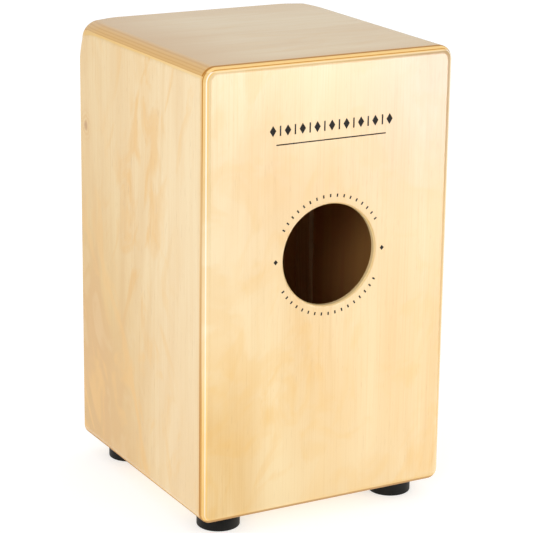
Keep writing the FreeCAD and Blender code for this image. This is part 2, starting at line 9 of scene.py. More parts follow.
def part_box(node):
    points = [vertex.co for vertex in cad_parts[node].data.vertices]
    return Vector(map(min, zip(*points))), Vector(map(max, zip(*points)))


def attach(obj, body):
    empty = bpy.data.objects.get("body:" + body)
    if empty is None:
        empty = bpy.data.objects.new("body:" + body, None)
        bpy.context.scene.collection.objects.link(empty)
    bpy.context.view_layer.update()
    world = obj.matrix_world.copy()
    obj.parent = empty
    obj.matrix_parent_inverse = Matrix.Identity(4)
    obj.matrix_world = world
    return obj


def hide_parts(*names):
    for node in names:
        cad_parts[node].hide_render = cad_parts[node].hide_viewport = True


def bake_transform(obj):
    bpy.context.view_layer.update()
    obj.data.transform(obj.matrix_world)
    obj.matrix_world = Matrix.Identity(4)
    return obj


# A string cajon: a lacquered birch plywood box with a sound hole in the back, rubber feet, a screwed
# front plate and two tunable snare strings behind it. Everything is in metres, in the frame of the
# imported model: the floor is z = 0, the front plate faces -Y and the sound hole faces +Y.

MM = 0.001
X_AXIS, Y_AXIS, Z_AXIS = 0, 1, 2
TURN = 2 * math.pi

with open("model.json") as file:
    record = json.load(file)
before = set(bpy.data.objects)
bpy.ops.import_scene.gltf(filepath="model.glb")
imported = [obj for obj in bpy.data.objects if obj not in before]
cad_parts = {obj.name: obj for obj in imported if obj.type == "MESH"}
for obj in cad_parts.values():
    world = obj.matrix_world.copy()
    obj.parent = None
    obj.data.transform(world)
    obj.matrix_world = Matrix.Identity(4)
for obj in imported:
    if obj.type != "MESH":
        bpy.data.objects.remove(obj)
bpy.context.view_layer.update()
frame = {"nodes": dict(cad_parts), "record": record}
nodes = frame["nodes"]


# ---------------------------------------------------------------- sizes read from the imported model

top_low, top_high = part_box("top_panel")
bottom_low, bottom_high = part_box("bottom_panel")
left_low, left_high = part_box("side_panel_left")
rear_low, rear_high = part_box("rear_panel")
tapa_low, tapa_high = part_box("tapa")

half_width = left_high.x
inner_side = left_low.x
underside = bottom_low.z
floor_top = bottom_high.z
ceiling = top_low.z
crown = top_high.z
rear_face = rear_high.y
rear_inside = rear_low.y
tapa_face = tapa_low.y
tapa_inside = tapa_high.y


def mount(name):
    """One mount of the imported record."""
    return next(item for item in frame["record"]["mounts"] if item["name"] == name)


sound_hole = mount("sound_hole")
hole_centre = Vector(sound_hole["pos_m"])
hole_radius = sound_hole["dims"]["r_mm"] * MM


# ---------------------------------------------------------------- a short way to build material nodes

# A layer of figure: noise cells to a metre across the grain and along it, the noise's detail and
# distortion, the noise from which the layer fades in (low to high), and how strongly it then shows.
Layer = namedtuple("Layer", "across along detail distortion low high share",
                   defaults=(2.0, 0.0, 0.0, 1.0, 1.0))


class Surface:
    """One material: adds nodes to its tree and joins them. Inputs may be numbers, colours or sockets."""

    def __init__(self, name):
        self.material = bpy.data.materials.new(name)
        self.material.use_nodes = True
        self.tree = self.material.node_tree
        self.tree.nodes.clear()
        self.shader = self.tree.nodes.new("ShaderNodeBsdfPrincipled")
        output = self.tree.nodes.new("ShaderNodeOutputMaterial")
        self.tree.links.new(self.shader.outputs[0], output.inputs["Surface"])
        self.place = self.tree.nodes.new("ShaderNodeTexCoord").outputs["Object"]
        split = self.tree.nodes.new("ShaderNodeSeparateXYZ")
        self.tree.links.new(self.place, split.inputs[0])
        self.x, self.y, self.z = split.outputs

    def feed(self, socket, value):
        """Set an input to a number or colour, or join it to another node's output."""
        if isinstance(value, bpy.types.NodeSocket):
            self.tree.links.new(value, socket)
        elif isinstance(value, tuple) and len(value) == 3 and socket.type == "RGBA":
            socket.default_value = (*value, 1.0)
        else:
            socket.default_value = value

    def math(self, operation, *values):
        """A math node's result."""
        node = self.tree.nodes.new("ShaderNodeMath")
        node.operation = operation
        for socket, value in zip(node.inputs, values):
            self.feed(socket, value)
        return node.outputs[0]

    def times(self, *values):
        """Several values multiplied together."""
        result = values[0]
        for value in values[1:]:
            result = self.math("MULTIPLY", result, value)
        return result

    def span(self, value, low, high):
        """How far a value has gone from low to high, smoothly, kept within 0 and 1."""
        node = self.tree.nodes.new("ShaderNodeMapRange")
        node.interpolation_type = "SMOOTHSTEP"
        for name, number in (("Value", value), ("From Min", low), ("From Max", high)):
            self.feed(node.inputs[name], number)
        return node.outputs[0]

    def stripe(self, value, rise, fall):
        """A band of a value, which fades in over one pair of limits and out over another."""
        return self.times(self.span(value, *rise), self.span(value, *fall))

    def between(self, share, start, end):
        """A number that goes from start to end as a share goes from 0 to 1."""
        return self.math("MULTIPLY_ADD", share, end - start, start)

    def without(self, share):
        """What a share leaves of 1."""
        return self.math("SUBTRACT", 1.0, share)

    def mix(self, share, first, second, blend="MIX"):
        """Two colours mixed."""
        node = self.tree.nodes.new("ShaderNodeMix")
        node.data_type = "RGBA"
        node.blend_type = blend
        self.feed(node.inputs["Factor"], share)
        self.feed(node.inputs[6], first)
        self.feed(node.inputs[7], second)
        return node.outputs[2]

    def ramp(self, value, stops):
        """A colour looked up along a list of (position, colour) stops."""
        node = self.tree.nodes.new("ShaderNodeValToRGB")
        elements = node.color_ramp.elements
        while len(elements) < len(stops):
            elements.new(0.5)
        for element, (position, colour) in zip(elements, stops):
            element.position = position
            element.color = (*colour, 1.0)
        self.feed(node.inputs[0], value)
        return node.outputs[0]

    def stretched(self, across, along, axis, shift=(0.0, 0.0, 0.0), place=None):
        """A place on the piece, scaled by one number across the grain and another along it."""
        node = self.tree.nodes.new("ShaderNodeMapping")
        scale = [across, across, across]
        scale[axis] = along
        node.inputs["Scale"].default_value = scale
        node.inputs["Location"].default_value = shift
        self.feed(node.inputs["Vector"], place or self.place)
        return node.outputs[0]

    def leaning(self, place, angle):
        """A place turned a little about X and about Y, so that a figure laid along Z runs aslant."""
        node = self.tree.nodes.new("ShaderNodeMapping")
        node.inputs["Rotation"].default_value = (angle, angle, 0.0)
        self.feed(node.inputs["Vector"], place)
        return node.outputs[0]

    def noise(self, vector, scale=1.0, detail=2.0, roughness=0.5, distortion=0.0):
        """Soft noise from 0 to 1."""
        node = self.tree.nodes.new("ShaderNodeTexNoise")
        settings = {"Vector": vector, "Scale": scale, "Detail": detail, "Roughness": roughness,
                    "Distortion": distortion}
        for name, value in settings.items():
            self.feed(node.inputs[name], value)
        return node.outputs[0]

    def layer_noise(self, layer, grain, shift=(0.0, 0.0, 0.0), place=None):
        """A layer's noise, stretched along the grain."""
        vector = self.stretched(layer.across, layer.along, grain, shift, place)
        return self.noise(vector, detail=layer.detail, distortion=layer.distortion)

    def layer(self, layer, grain, shift=(0.0, 0.0, 0.0), place=None):
        """Where a layer shows, from 0 to 1."""
        return self.span(self.layer_noise(layer, grain, shift, place), layer.low, layer.high)

    def wave(self, value, turns):
        """A value's smooth wave from 0 to 1, with so many waves to each unit of the value."""
        swing = self.math("SINE", self.times(value, TURN * turns))
        return self.math("MULTIPLY_ADD", swing, 0.5, 0.5)

    def bump(self, height, strength, distance):
        """Small relief on the surface."""
        node = self.tree.nodes.new("ShaderNodeBump")
        node.inputs["Strength"].default_value = strength
        node.inputs["Distance"].default_value = distance
        self.feed(node.inputs["Height"], height)
        self.feed(self.shader.inputs["Normal"], node.outputs[0])

    def finish(self, **inputs):
        """Set the shader's own inputs, with underscores for the spaces in their names."""
        for name, value in inputs.items():
            self.feed(self.shader.inputs[name.replace("_", " ")], value)
        return self.material


def paint(material, *names):
    """Give nodes carried over from the CAD their material."""
    for name in names:
        slots = nodes[name].data.materials
        slots.clear()
        slots.append(material)


# ---------------------------------------------------------------- plywood

# Veneer, from pale to dark.
BIRCH_CREAM = (0.900, 0.740, 0.460)
BIRCH_PALE = (0.840, 0.640, 0.345)
BIRCH_WARM = (0.770, 0.520, 0.225)
BIRCH_FLAME = (0.790, 0.450, 0.105)
BIRCH_FIGURE = (0.660, 0.375, 0.100)
RAW_BIRCH = (0.565, 0.240, 0.078)
BIRCH_FLECK = (0.480, 0.250, 0.080)
KNOT_BROWN = (0.420, 0.190, 0.035)

# Edges and joints.
# The first three are painted light: a highlight on the upright edges of the back, a sheen on its rounded
# rims, and light on the wall of its hole.
PAINTED_HIGHLIGHT = (0.980, 0.950, 0.860)
PAINTED_SHEEN_CREAM = (0.960, 0.820, 0.560)
PAINTED_WALL_LIGHT = (0.930, 0.700, 0.360)
PLY_BAND = (0.890, 0.590, 0.210)
PLY_LINE = (0.560, 0.240, 0.030)
GLUE_TINT = (0.760, 0.420, 0.090)
JOINT_BROWN = (0.440, 0.170, 0.012)
RIM_BROWN = (0.400, 0.185, 0.045)

# Tints that multiply the veneer's colour: the first is the wood's own honey tone, the other two are
# painted shade on the back's upper part and upper right corner.
HONEY_TINT = (0.800, 0.690, 0.280)
UPPER_PAINTED_SHADE = (0.850, 0.840, 0.840)
CORNER_PAINTED_SHADE = (0.760, 0.730, 0.790)

# Layers of the birch figure.
BROAD_TONE = Layer(9.0, 2.2, detail=3.0, distortion=0.7, low=0.36, high=0.68)
SWELL = Layer(7.0, 1.3, detail=1.5, distortion=0.4)
PATCHES = Layer(6.0, 3.0, low=0.42, high=0.62)
FLAMES = Layer(30.0, 11.0, detail=4.0, distortion=1.1, low=0.46, high=0.68, share=0.95)
STREAKS = Layer(170.0, 3.5, distortion=0.5, low=0.45, high=0.70)
FIBRES = Layer(800.0, 9.0, low=0.45, high=0.72, share=0.16)
FLECKS = Layer(520.0, 60.0, detail=1.0, low=0.66, high=0.74, share=0.30)
RAW_TONE = Layer(60.0, 4.0, detail=3.0, low=0.3, high=0.7, share=0.4)
RELIEF = Layer(700.0, 25.0)
RINGS_TO_SWELL = 11.0
RINGS_FADE = (0.35, 1.0)
RINGS_SHARE = 0.34
FLAME_LEAN = math.radians(16.0)

# Depths of the dark glue lines from a panel's outer face, in millimetres.
TOP_LINES = (1.1, 3.5, 6.1, 8.5)
SIDE_LINES = (3.3, 6.0)
REAR_LINES = (5.0,)
TAPA_LINES = (1.0, 2.0)
GLUE_LINE_WIDTH = 0.80
GLUE_LINE_FADE = 1.6
FACE_VENEER = (0.35 * MM, 0.75 * MM)
WAVER_CELLS = 25.0
WAVER_DEPTH = 0.35 * MM

LACQUERED_ROUGHNESS = 0.42
RAW_ROUGHNESS = 0.72


def birch_face(surface, grain, shift, figure, streaks):
    """Pale rotary-cut birch: broad soft tones, contour-like rings, a flame figure, fibres and flecks."""
    colour = surface.mix(surface.layer(BROAD_TONE, grain, shift), BIRCH_PALE, BIRCH_WARM)

    swell = surface.layer_noise(SWELL, grain, shift)
    rings = surface.span(surface.wave(swell, RINGS_TO_SWELL), *RINGS_FADE)
    patch = surface.layer(PATCHES, grain, shift)
    colour = surface.mix(surface.times(rings, patch, RINGS_SHARE * figure), colour, BIRCH_FIGURE)

    aslant = surface.leaning(surface.place, FLAME_LEAN)
    flame = surface.layer(FLAMES, grain, shift, aslant)
    colour = surface.mix(surface.times(flame, patch, FLAMES.share * figure), colour, BIRCH_FLAME)

    streak = surface.layer(STREAKS, grain, shift)
    colour = surface.mix(surface.times(streak, streaks), colour, BIRCH_WARM)
    fibre = surface.layer(FIBRES, grain, shift)
    colour = surface.mix(surface.times(fibre, FIBRES.share), colour, BIRCH_WARM, "MULTIPLY")
    fleck = surface.layer(FLECKS, grain, shift)
    return surface.mix(surface.times(fleck, FLECKS.share * figure), colour, BIRCH_FLECK)


def panel_depth(surface, axis, face, inward):
    """Distance in from a panel's outer face, wavering slightly as real veneers do."""
    place = (surface.x, surface.y, surface.z)[axis]
    depth = surface.times(surface.math("SUBTRACT", place, face), inward)
    waver = surface.math("SUBTRACT", surface.noise(surface.place, WAVER_CELLS, detail=1.0), 0.5)
    return surface.math("MULTIPLY_ADD", waver, WAVER_DEPTH, depth)


def ply_edge(surface, depth, thickness, lines):
    """The plywood's edge: dark glue lines between pale bands."""
    half = 0.5 * GLUE_LINE_WIDTH * MM / thickness
    faded = GLUE_LINE_FADE * half
    stops = [(0.0, PLY_BAND)]
    for line in lines:
        middle = line * MM / thickness
        stops += [(middle - faded, PLY_BAND), (middle - half, PLY_LINE),
                  (middle + half, PLY_LINE), (middle + faded, PLY_BAND)]
    return surface.ramp(surface.math("DIVIDE", depth, thickness), stops)


def inside_box(surface):
    """1 on the inner faces of the box, 0 on its outside."""
    margin = 0.05 * MM
    return surface.times(
        surface.math("LESS_THAN", surface.math("ABSOLUTE", surface.x), inner_side + margin),
        surface.math("GREATER_THAN", surface.y, tapa_inside - margin),
        surface.math("LESS_THAN", surface.y, rear_inside + margin),
        surface.math("GREATER_THAN", surface.z, floor_top - margin),
        surface.math("LESS_THAN", surface.z, ceiling + margin),
    )


def plywood(name, axis, face, inward, thickness, grain, lines, figure=0.5, streaks=0.30, shift=(0, 0, 0),
            extra=None):
    """Birch plywood, lacquered on the outside of the box and raw inside it."""
    surface = Surface(name)
    colour = birch_face(surface, grain, shift, figure, streaks)
    depth = panel_depth(surface, axis, face, inward)
    edge = ply_edge(surface, depth, thickness, lines)
    colour = surface.mix(surface.span(depth, *FACE_VENEER), colour, edge)
    if extra:
        colour = extra(surface, colour)

    inside = inside_box(surface)
    raw_tone = surface.times(surface.layer(RAW_TONE, grain, shift), RAW_TONE.share)
    colour = surface.mix(inside, colour, surface.mix(raw_tone, RAW_BIRCH, BIRCH_FIGURE))
    surface.bump(surface.layer_noise(RELIEF, grain, shift), strength=0.05, distance=0.15 * MM)
    return surface.finish(
        Base_Color=colour,
        Roughness=surface.between(inside, LACQUERED_ROUGHNESS, RAW_ROUGHNESS),
        Specular_IOR_Level=0.10,
        Coat_Weight=surface.times(surface.without(inside), surface.without(rubbed_edge(surface))),
        Coat_Roughness=0.14,
        IOR=1.5,
    )


# ---------------------------------------------------------------- edges and joints of the plywood

# The glue line where the rear panel meets the others, the warm band beside it, and how strongly they show.
JOINT_LINE = 3.2 * MM
JOINT_LINE_SHARE = 0.85
JOINT_BAND = 9.0 * MM
JOINT_BAND_SHARE = 0.30

# The lower rim: how high its tint and its rubbed lacquer reach, and where below that they are complete.
REAR_RIM = 5.5 * MM
SIDE_RIM = 8.0 * MM
RUBBED_RIM = 9.0 * MM
RIM_FADE = 0.75
RIM_SHARE = 0.80
RUBBED_JOINT_SHARE = 0.8


def lowest(surface, width):
    """1 along the underside, 0 from a width above it."""
    return surface.span(surface.math("SUBTRACT", surface.z, underside), width, RIM_FADE * width)


def lower_rim(surface, colour, width):
    """The rounding along the lower edge is made a darker brown."""
    return surface.mix(surface.times(lowest(surface, width), RIM_SHARE), colour, RIM_BROWN)


def rubbed_edge(surface):
    """Where the lacquer is rubbed off: along the lower rim, and along the joint with the rear panel."""
    line_middle = rear_inside - 0.3 * JOINT_LINE
    offset = surface.math("ABSOLUTE", surface.math("SUBTRACT", line_middle, surface.y))
    joint = surface.span(offset, 0.9 * JOINT_LINE, 0.5 * JOINT_LINE)
    return surface.math("MAXIMUM", lowest(surface, RUBBED_RIM), surface.times(joint, RUBBED_JOINT_SHARE))


def joint_tint(surface, colour, strength=1.0):
    """Glue and sanding leave a dark orange line, in a warm band, along the joint with the rear panel."""
    setback = surface.math("SUBTRACT", rear_inside, surface.y)
    band = surface.span(setback, JOINT_BAND, 0.2 * JOINT_BAND)
    colour = surface.mix(surface.times(band, strength, JOINT_BAND_SHARE), colour, GLUE_TINT)
    line = surface.span(setback, JOINT_LINE, 0.5 * JOINT_LINE)
    return surface.mix(surface.times(line, strength, JOINT_LINE_SHARE), colour, JOINT_BROWN)


def distance_from(surface, across, along, centre, size):
    """How far a point is from a centre, as a multiple of a size in each of two directions."""
    first = surface.times(surface.math("SUBTRACT", across, centre[0]), 1.0 / size[0])
    second = surface.times(surface.math("SUBTRACT", along, centre[1]), 1.0 / size[1])
    squares = surface.math("ADD", surface.times(first, first), surface.times(second, second))
    return surface.math("SQRT", squares)


# ---------------------------------------------------------------- tones of the top

TOP_WARM = (0.03, 0.15)
TOP_WARM_SHARE = 0.85
TOP_JOINT_STRENGTH = 1.1


def top_tones(surface, colour):
    """The top's veneer is warmer towards the left."""
    leftward = surface.times(surface.span(surface.x, *TOP_WARM), TOP_WARM_SHARE)
    return joint_tint(surface, surface.mix(leftward, colour, BIRCH_FIGURE), TOP_JOINT_STRENGTH)


# ---------------------------------------------------------------- tones of the back

# Where each tone fades in, in metres across the back (x) or up it (z), and how strongly it shows.
REAR_LEFT = (0.02, 0.16)
REAR_LOW = (0.30, 0.02)
REAR_LOW_SHARE = 0.20
REAR_MIDDLE = ((0.12, 0.24), (0.44, 0.30))
REAR_MIDDLE_SHARE = 0.7
REAR_FOOT = (0.20, 0.05)
REAR_FOOT_LEFT = (0.13, 0.06)
REAR_FOOT_RIGHT = (-0.16, -0.04)
REAR_FOOT_SHARE = 0.38
# Heights over which the painted shade, sheen and highlight grow upwards, then where painted shade darkens
# the upper right corner.
REAR_UPWARD = (0.10, 0.42)
REAR_CORNER_RIGHT = (0.02, -0.14)
REAR_CORNER_UP = (0.30, 0.47)
CLOUD_CELLS = 17.0
CLOUD_FADE = (0.50, 0.66)
CLOUD_SHARE = 0.22

# Distances from the upper and the right edge over which the painted sheen on the rounded edge gives way to
# the flat face and its painted shade.
SHEEN_EDGE = (2.5 * MM, 6.0 * MM)

# The upper rim, as distances below the top, and depths from the rear face of what shows on the edges: the
# rim's painted sheen, its dark ply and the painted highlight line on the upright edges. The highlight
# line's shares are for low down and for high up.
UPPER_RIM = (5.5 * MM, 3.5 * MM)
RIM_SHEEN_DEPTH = (0.7 * MM, 1.2 * MM)
RIM_LINE = ((1.3 * MM, 1.6 * MM), (2.3 * MM, 2.0 * MM))
HIGHLIGHT_LINE = ((1.1 * MM, 1.4 * MM), (2.2 * MM, 1.8 * MM))
HIGHLIGHT_LINE_FOOT = 14.0 * MM
HIGHLIGHT_LINE_SHARES = (0.50, 0.70)

# The wall of the hole, which is painted pale as painted light: distances from its centre in radii, and
# depths from the rear face.
HOLE_EDGE = (1.06, 1.01)
HOLE_SURROUND = 1.5
PAINTED_WALL_LIGHT_DEPTH = (0.4 * MM, 1.2 * MM)
PAINTED_WALL_LIGHT_SHARE = 0.85

# The rear panel's side of the joint: heights above its inner face, and how much darker it is near the top.
INNER_EDGE = (1.3 * MM, 0.7 * MM)
INNER_EDGE_TOP = (9.0 * MM, 4.0 * MM)
INNER_EDGE_SHARES = (0.35, 0.85)


def rear_patches(surface, colour):
    """Patches of the rear veneer: warm at the lower left, cream above that and near the foot, clouds."""
    leftward = surface.span(surface.x, *REAR_LEFT)
    low = surface.span(surface.z, *REAR_LOW)
    colour = surface.mix(surface.times(leftward, low, REAR_LOW_SHARE), colour, BIRCH_FIGURE)
    middle = surface.stripe(surface.z, *REAR_MIDDLE)
    colour = surface.mix(surface.times(leftward, middle, REAR_MIDDLE_SHARE), colour, BIRCH_CREAM)
    foot = surface.times(
        surface.span(surface.z, *REAR_FOOT),
        surface.span(surface.x, *REAR_FOOT_LEFT),
        surface.span(surface.x, *REAR_FOOT_RIGHT),
    )
    colour = surface.mix(surface.times(foot, REAR_FOOT_SHARE), colour, BIRCH_CREAM)
    cloud = surface.noise(surface.place, CLOUD_CELLS, detail=3.0, distortion=0.8)
    cloud = surface.times(surface.span(cloud, *CLOUD_FADE), CLOUD_SHARE)
    return surface.mix(cloud, colour, BIRCH_FLAME)


def rear_painted_shade_and_sheen(surface, colour, upward):
    """Painted shade makes the rear veneer greyer upwards and at the upper right; a painted sheen makes it
    pale along those edges.
    """
    below_top = surface.math("SUBTRACT", crown, surface.z)
    from_right = surface.math("ADD", surface.x, half_width)
    flat = surface.span(surface.math("MINIMUM", below_top, from_right), *SHEEN_EDGE)
    # Painted shade: the colour is made darker upwards.
    colour = surface.mix(surface.times(flat, upward), colour, UPPER_PAINTED_SHADE, "MULTIPLY")
    # Painted shade at the upper right corner.
    corner = surface.times(
        surface.span(surface.x, *REAR_CORNER_RIGHT),
        surface.span(surface.z, *REAR_CORNER_UP),
    )
    colour = surface.mix(surface.times(flat, corner), colour, CORNER_PAINTED_SHADE, "MULTIPLY")
    # A painted sheen makes the rounded upper and right edges pale.
    return surface.mix(surface.times(surface.without(flat), upward), colour, PAINTED_SHEEN_CREAM)


def rear_edges(surface, colour, upward):
    """The rear panel's edges: upper rim with one dark ply and a painted sheen, painted light on the wall
    of the hole, a painted highlight along the upright edges, joint.
    """
    depth = surface.math("SUBTRACT", rear_face, surface.y)
    upper_rim = surface.span(surface.z, crown - UPPER_RIM[0], crown - UPPER_RIM[1])
    # Painted sheen: the upper rim is pale near the face, and deeper down it shows the ply band.
    rim_sheen_and_ply = surface.mix(surface.span(depth, *RIM_SHEEN_DEPTH), PAINTED_SHEEN_CREAM, PLY_BAND)
    colour = surface.mix(upper_rim, colour, rim_sheen_and_ply)
    rim_line = surface.stripe(depth, *RIM_LINE)
    colour = surface.mix(surface.times(rim_line, upper_rim), colour, PLY_LINE)

    hole_middle = (hole_centre.x, hole_centre.z)
    reach = distance_from(surface, surface.x, surface.z, hole_middle, (hole_radius, hole_radius))
    # Painted light: the wall of the hole is made pale, as if lit.
    wall = surface.times(
        surface.span(reach, *HOLE_EDGE),
        surface.span(depth, *PAINTED_WALL_LIGHT_DEPTH),
        PAINTED_WALL_LIGHT_SHARE,
    )
    colour = surface.mix(wall, colour, PAINTED_WALL_LIGHT)

    clear_of_hole = surface.math("GREATER_THAN", reach, HOLE_SURROUND)
    # A painted highlight: a near-white line along the rounded upright edges, stronger higher up.
    highlight_line = surface.times(
        surface.stripe(depth, *HIGHLIGHT_LINE),
        surface.without(upper_rim),
        clear_of_hole,
        surface.span(surface.z, underside, underside + HIGHLIGHT_LINE_FOOT),
        surface.between(upward, *HIGHLIGHT_LINE_SHARES),
    )
    colour = surface.mix(highlight_line, colour, PAINTED_HIGHLIGHT)

    above_inner = surface.math("SUBTRACT", surface.y, rear_inside)
    inner_edge = surface.times(surface.span(above_inner, *INNER_EDGE), clear_of_hole)
    near_top = surface.span(surface.z, crown - INNER_EDGE_TOP[0], crown - INNER_EDGE_TOP[1])
    strength = surface.between(near_top, *INNER_EDGE_SHARES)
    return surface.mix(surface.times(inner_edge, strength), colour, JOINT_BROWN)


def rear_tones(surface, colour):
    """The rear veneer's patches, its painted shade and sheen, and what shows on the panel's edges, with
    painted light and a painted highlight there.
    """
    upward = surface.span(surface.z, *REAR_UPWARD)
    colour = rear_patches(surface, colour)
    colour = rear_painted_shade_and_sheen(surface, colour, upward)
    colour = lower_rim(surface, colour, REAR_RIM)
    return rear_edges(surface, colour, upward)


# ---------------------------------------------------------------- tones of the left side

# Where each tone fades in, in metres along the side (y) or up it (z), and how strongly it shows: a pair
# of shares is for high up and for low down.
SIDE_FORWARD = (0.10, -0.15)
SIDE_LOW = (0.42, 0.10)
SIDE_HONEY_SHARES = (0.25, 1.0)
SIDE_CREAM = (0.02, 0.13)
SIDE_CREAM_SHARE = 0.25
SIDE_WARM_SHARES = (0.25, 1.10)
SIDE_JOINT_STRENGTHS = (0.30, 1.05)

DRIFT = Layer(16.0, 5.0, detail=4.0, distortion=1.0, low=0.36, high=0.62)
DRIFT_SHARES = (0.25, 1.0)

MOTTLES = Layer(24.0, 9.0, detail=3.0, distortion=0.9, low=0.50, high=0.66)
MOTTLE_LEAN = -1.3 * FLAME_LEAN
MOTTLE_SHIFT = (7.7, 2.2, 4.1)
MOTTLE_REACH = (0.12, 0.02)
MOTTLE_SHARES = (0.15, 0.65)
PALE_MOTTLES = (0.44, 0.32)
PALE_MOTTLE_SHARE = 0.3

# The knot: its place along and up the side, and limits in multiples of its size.
KNOT_PLACE = (-0.1330, underside + 366.0 * MM)
KNOT_SIZE = (5.0 * MM, 6.5 * MM)
KNOT_CELLS = 260.0
KNOT_RAGGEDNESS = 0.9
KNOT_CORE = (1.7, 0.5)
KNOT_CORE_SHARE = 0.85
KNOT_HALO = (4.2, 1.0)
KNOT_HALO_RINGS = 1.1
KNOT_HALO_SHARE = 0.75


def side_mottles(surface, colour, low):
    """Flames and pale patches that lean the other way, stronger low down."""
    aslant = surface.leaning(surface.place, MOTTLE_LEAN)
    mottle = surface.layer_noise(MOTTLES, Z_AXIS, MOTTLE_SHIFT, aslant)
    reach = surface.times(surface.span(surface.y, *MOTTLE_REACH), surface.between(low, *MOTTLE_SHARES))
    flame = surface.span(mottle, MOTTLES.low, MOTTLES.high)
    colour = surface.mix(surface.times(flame, reach), colour, BIRCH_FLAME)
    pale = surface.span(mottle, *PALE_MOTTLES)
    return surface.mix(surface.times(pale, reach, PALE_MOTTLE_SHARE), colour, BIRCH_PALE)


def knot(surface, colour):
    """A small knot with a ragged outline and a ringed halo."""
    ragged = surface.times(surface.noise(surface.place, KNOT_CELLS, detail=3.0), KNOT_RAGGEDNESS)
    distance = distance_from(surface, surface.y, surface.z, KNOT_PLACE, KNOT_SIZE)
    uneven = surface.math("ADD", distance, ragged)
    halo = surface.times(surface.span(uneven, *KNOT_HALO), surface.wave(uneven, KNOT_HALO_RINGS),
                         KNOT_HALO_SHARE)
    colour = surface.mix(halo, colour, BIRCH_FIGURE)
    core = surface.times(surface.span(uneven, *KNOT_CORE), KNOT_CORE_SHARE)
    return surface.mix(core, colour, KNOT_BROWN)


def side_tones(surface, colour):
    """The left side's veneer is honey coloured, darkens towards its lower front, and has a small knot."""
    forward = surface.span(surface.y, *SIDE_FORWARD)
    low = surface.span(surface.z, *SIDE_LOW)
    honey = surface.times(forward, surface.between(low, *SIDE_HONEY_SHARES))
    colour = surface.mix(honey, colour, HONEY_TINT, "MULTIPLY")
    cream = surface.times(surface.span(surface.y, *SIDE_CREAM), SIDE_CREAM_SHARE)
    colour = surface.mix(cream, colour, BIRCH_CREAM)
    region = surface.times(forward, surface.between(low, *SIDE_WARM_SHARES))
    drift = surface.between(surface.layer(DRIFT, Z_AXIS), *DRIFT_SHARES)
    colour = surface.mix(surface.times(region, drift), colour, BIRCH_FIGURE)
    colour = side_mottles(surface, colour, low)
    colour = knot(surface, colour)
    strength = surface.between(low, *SIDE_JOINT_STRENGTHS)
    return lower_rim(surface, joint_tint(surface, colour, strength), SIDE_RIM)


# ---------------------------------------------------------------- the plywood panels

thickness = crown - ceiling
rear_thickness = rear_face - rear_inside
tapa_thickness = tapa_inside - tapa_face
paint(plywood("birch_top", Z_AXIS, crown, -1, thickness, X_AXIS, TOP_LINES, figure=0.2,
              shift=(3.1, 0.7, 5.3), extra=top_tones), "top_panel")
paint(plywood("birch_bottom", Z_AXIS, underside, 1, thickness, X_AXIS, TOP_LINES,
              shift=(8.2, 4.4, 1.9)), "bottom_panel")
paint(plywood("birch_left", X_AXIS, half_width, -1, thickness, Z_AXIS, SIDE_LINES, figure=0.75,
              shift=(2.3, 6.1, 0.4), extra=side_tones), "side_panel_left")
paint(plywood("birch_right", X_AXIS, -half_width, 1, thickness, Z_AXIS, SIDE_LINES, figure=0.8,
              shift=(5.7, 1.2, 7.7), extra=joint_tint), "side_panel_right")
paint(plywood("birch_rear", Y_AXIS, rear_face, -1, rear_thickness, Z_AXIS, REAR_LINES, figure=0.45,
              streaks=0.12, shift=(0.9, 3.3, 2.6), extra=rear_tones), "rear_panel")
paint(plywood("birch_tapa", Y_AXIS, tapa_face, 1, tapa_thickness, Z_AXIS, TAPA_LINES, figure=0.9,
              shift=(6.4, 0.2, 9.1)), "tapa")


# ---------------------------------------------------------------- solid woods

PINE_PALE, PINE_DARK = (0.780, 0.560, 0.290), (0.560, 0.310, 0.110)
BEECH_PALE, BEECH_DARK = (0.600, 0.370, 0.190), (0.430, 0.230, 0.100)
PINE_PORES, BEECH_PORES = 0.1, 0.7

RING_BEND = Layer(30.0, 3.0)
RINGS_TO_BEND = 3.0
GROWTH_FADE = (0.45, 1.0)
GROWTH_SHARE = 0.7
SAWN_FIBRES = Layer(1400.0, 18.0, low=0.4, high=0.8, share=0.3)
PORES = Layer(900.0, 110.0, detail=1.0, low=0.64, high=0.72)


def solid_wood(name, grain, across, pale, dark, ring_spacing, pores):
    """Raw sawn wood: growth rings along the piece, fine fibres and short pores."""
    surface = Surface(name)
    place = (surface.x, surface.y, surface.z)[across]
    bend = surface.times(surface.layer_noise(RING_BEND, grain), RINGS_TO_BEND)
    swell = surface.math("ADD", surface.times(place, 1.0 / ring_spacing), bend)
    rings = surface.span(surface.wave(swell, 1.0), *GROWTH_FADE)
    colour = surface.mix(surface.times(rings, GROWTH_SHARE), pale, dark)
    fibre = surface.layer_noise(SAWN_FIBRES, grain)
    fibre_tone = surface.span(fibre, SAWN_FIBRES.low, SAWN_FIBRES.high)
    colour = surface.mix(surface.times(fibre_tone, SAWN_FIBRES.share), colour, dark)
    pore = surface.layer(PORES, grain)
    colour = surface.mix(surface.times(pore, pores), colour, BIRCH_FLECK)
    surface.bump(fibre, strength=0.25, distance=0.2 * MM)
    return surface.finish(Base_Color=colour, Roughness=0.78, IOR=1.45)


paint(solid_wood("pine_upright", Z_AXIS, Y_AXIS, PINE_PALE, PINE_DARK, 3.2 * MM, PINE_PORES),
      "front_batten_left", "front_batten_right")
paint(solid_wood("pine_across", X_AXIS, Y_AXIS, PINE_PALE, PINE_DARK, 3.6 * MM, PINE_PORES),
      "front_batten_top", "front_batten_bottom")
paint(solid_wood("beech", X_AXIS, Z_AXIS, BEECH_PALE, BEECH_DARK, 2.2 * MM, BEECH_PORES),
      "string_anchor_bar")


# ---------------------------------------------------------------- rubber and metals

